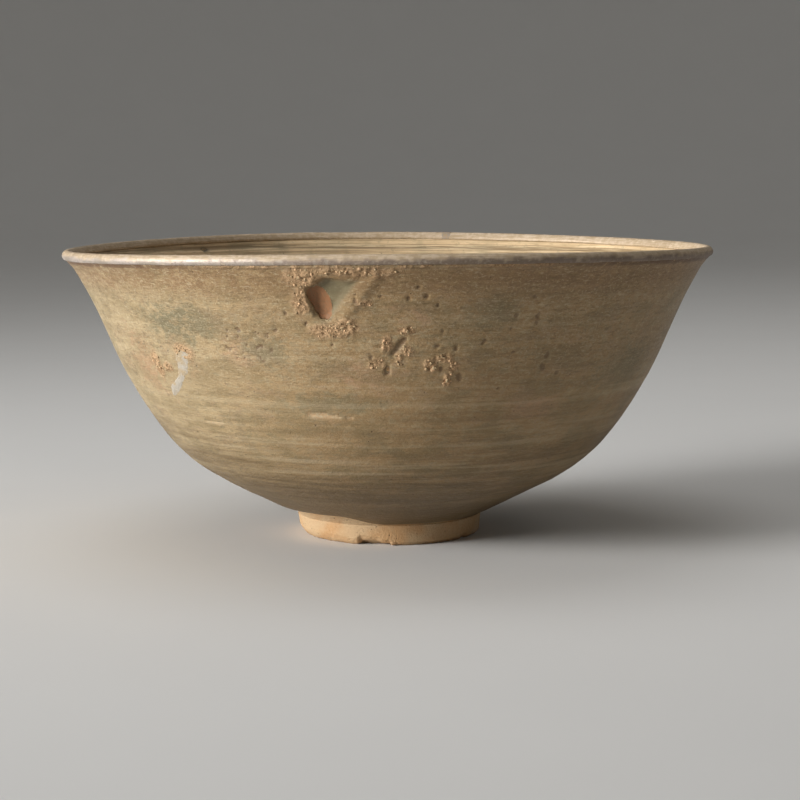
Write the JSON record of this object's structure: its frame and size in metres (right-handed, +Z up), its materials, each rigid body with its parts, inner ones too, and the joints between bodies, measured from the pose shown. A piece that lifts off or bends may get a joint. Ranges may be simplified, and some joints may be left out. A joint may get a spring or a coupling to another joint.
{
  "type": "tea bowl",
  "caption": "Wide flared tea bowl of celadon-glazed stoneware on a small ring foot, with a metal band bound over its lip, for whisking and drinking powdered tea.",
  "frame": {"origin": "centre of the face that the foot stands on", "axes": "+Z up along the bowl's axis; the side with the bare spot and the grit faces -Y; the soldered joint of the band faces +Y"},
  "size_m": [0.16, 0.16, 0.0728],
  "materials": {
    "clay": "matt bare stoneware, sandy buff to orange",
    "outer_glaze": "satin olive-buff oxidised celadon, streaked and pitted",
    "inner_glaze": "satin tan celadon with throwing rings",
    "lacquer": "dark dried lacquer",
    "band_metal": "aged dull silver-grey metal, worn bright in places",
    "solder": "dull grey solder",
    "grit": "rough buff kiln sand, fused",
    "fill": "pale grey matt filler, worn"
  },
  "bodies": {
    "root": {"clay_body": "clay", "foot_ring": "clay", "outer_glaze": "outer_glaze", "inner_glaze": "inner_glaze", "rim_lacquer": "lacquer", "rim_band": "band_metal", "band_solder": "solder", "kiln_grit": "grit", "scar_fill": "fill"}
  },
  "joints": []
}
